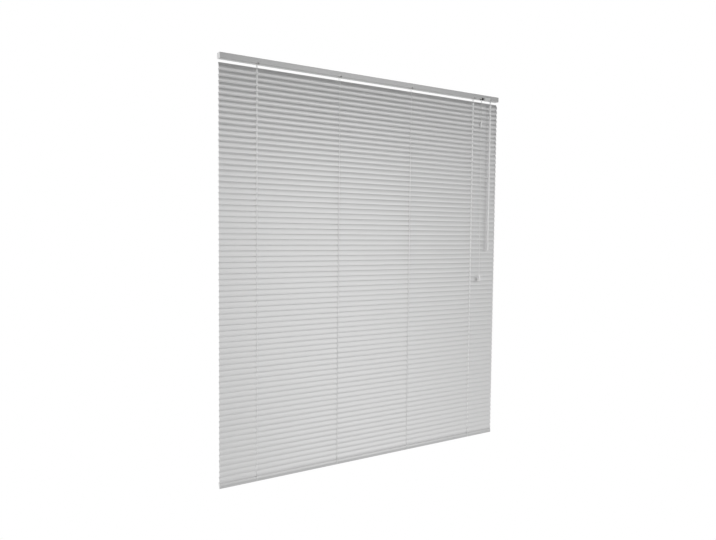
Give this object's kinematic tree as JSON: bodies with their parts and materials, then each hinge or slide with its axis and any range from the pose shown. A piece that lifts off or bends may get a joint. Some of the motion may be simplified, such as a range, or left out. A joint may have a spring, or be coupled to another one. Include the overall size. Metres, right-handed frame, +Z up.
{
  "type": "horizontal slat blind",
  "caption": "Lowered horizontal slat blind: headrail, closed satin metal slats on string ladders, tilted bottom rail, lift cord with tassel and a tilt wand.",
  "frame": {"origin": "middle of the headrail's back face, which goes against the wall", "axes": "+X to the right along the headrail, +Y towards the wall, +Z up; the room side is -Y"},
  "size_m": [1.4, 0.0397, 1.6272],
  "materials": {
    "slat_aluminium": "satin silver lacquer",
    "rail_steel": "satin silver paint",
    "cap_plastic": "light grey, matt",
    "ladder_braid": "fine polyester braid",
    "cord_braid": "polyester braid",
    "bright_steel": "zinc plated",
    "white_plastic": "moulded, matt",
    "lock_plastic": "moulded black, matt",
    "tilter_plastic": "moulded pale grey, matt",
    "cam_brass": "die cast",
    "clear_plastic": "clear to milky, glossy"
  },
  "bodies": {
    "headrail": {"headrail": "rail_steel", "end_cap_left": "cap_plastic", "end_cap_right": "cap_plastic", "slats": "slat_aluminium", "ladder_1": "ladder_braid", "ladder_2": "ladder_braid", "ladder_3": "ladder_braid", "ladder_4": "ladder_braid", "cradle_1": "white_plastic", "cradle_2": "white_plastic", "cradle_3": "white_plastic", "cradle_4": "white_plastic", "cord_pin_1": "bright_steel", "cord_pin_2": "bright_steel", "cord_pin_3": "bright_steel", "cord_pin_4": "bright_steel", "lift_cord_1": "cord_braid", "lift_cord_2": "cord_braid", "headrail_cord_1": "cord_braid", "headrail_cord_2": "cord_braid", "pull_cords_upper": "cord_braid", "lock_housing": "lock_plastic", "roller_pin": "bright_steel", "cam_pin": "bright_steel", "tilter_housing": "tilter_plastic"},
    "bottom_rail": {"bottom_rail": "rail_steel", "rail_cap_left": "cap_plastic", "rail_cap_right": "cap_plastic", "rail_plug_1": "cap_plastic", "rail_plug_2": "cap_plastic", "rail_plug_3": "cap_plastic", "rail_plug_4": "cap_plastic"},
    "pull_cord": {"cord_joiner": "clear_plastic", "pull_cord": "cord_braid", "tassel": "clear_plastic"},
    "tilt_rod": {"tilt_rod": "bright_steel", "tilter_gear": "white_plastic", "ladder_drum_1": "white_plastic", "ladder_drum_2": "white_plastic", "ladder_drum_3": "white_plastic", "ladder_drum_4": "white_plastic"},
    "worm_shaft": {"worm_shaft": "bright_steel"},
    "wand_sleeve": {"wand_sleeve": "clear_plastic"},
    "wand": {"wand": "clear_plastic", "wand_hook": "bright_steel", "wand_grip": "clear_plastic"},
    "lock_cam": {"lock_cam": "cam_brass"},
    "lock_roller": {"lock_roller": "white_plastic"}
  },
  "joints": [
    {"name": "lift", "type": "slide", "parent": "headrail", "child": "bottom_rail", "axis": [0, 0, 1], "range_m": [0, 1.46], "deforming": ["slats", "ladder_1", "ladder_2", "ladder_3", "ladder_4", "lift_cord_1", "lift_cord_2"]},
    {"name": "cord_pull", "type": "slide", "parent": "headrail", "child": "pull_cord", "axis": [0, 0, -1], "range_m": [0, 1.46], "deforming": ["pull_cords_upper"]},
    {"name": "wand_swing", "type": "hinge", "parent": "headrail", "child": "wand_sleeve", "pos_m": [0.643, -0.02845, -0.02102], "axis": [-1, 0, 0], "range_deg": [0, 40]},
    {"name": "wand_turn", "type": "hinge", "parent": "wand_sleeve", "child": "wand", "pos_m": [0.643, -0.02845, -0.02102], "axis": [0, 0, -1], "range_deg": [0, 3600]},
    {"name": "worm_turn", "type": "hinge", "parent": "headrail", "child": "worm_shaft", "pos_m": [0.643, -0.0187, 0.00576], "axis": [0, -0.342, -0.9397], "range_deg": [0, 3600]},
    {"name": "tilt_rod_turn", "type": "hinge", "parent": "headrail", "child": "tilt_rod", "pos_m": [0, -0.0125, 0.0035], "axis": [-1, 0, 0], "range_deg": [0, 225]},
    {"name": "cam_turn", "type": "hinge", "parent": "headrail", "child": "lock_cam", "pos_m": [0.577, -0.02175, -0.0042], "axis": [0, 1, 0], "range_deg": [0, 70]},
    {"name": "roller_spin", "type": "hinge", "parent": "headrail", "child": "lock_roller", "pos_m": [0.588, -0.02175, -0.0035], "axis": [0, 1, 0], "continuous": true}
  ],
  "couplings": [
    {"joint": "cord_pull", "follows": "lift", "ratio": 1},
    {"joint": "worm_turn", "follows": "wand_turn", "ratio": 1},
    {"joint": "tilt_rod_turn", "follows": "wand_turn", "ratio": 0.0625}
  ]
}
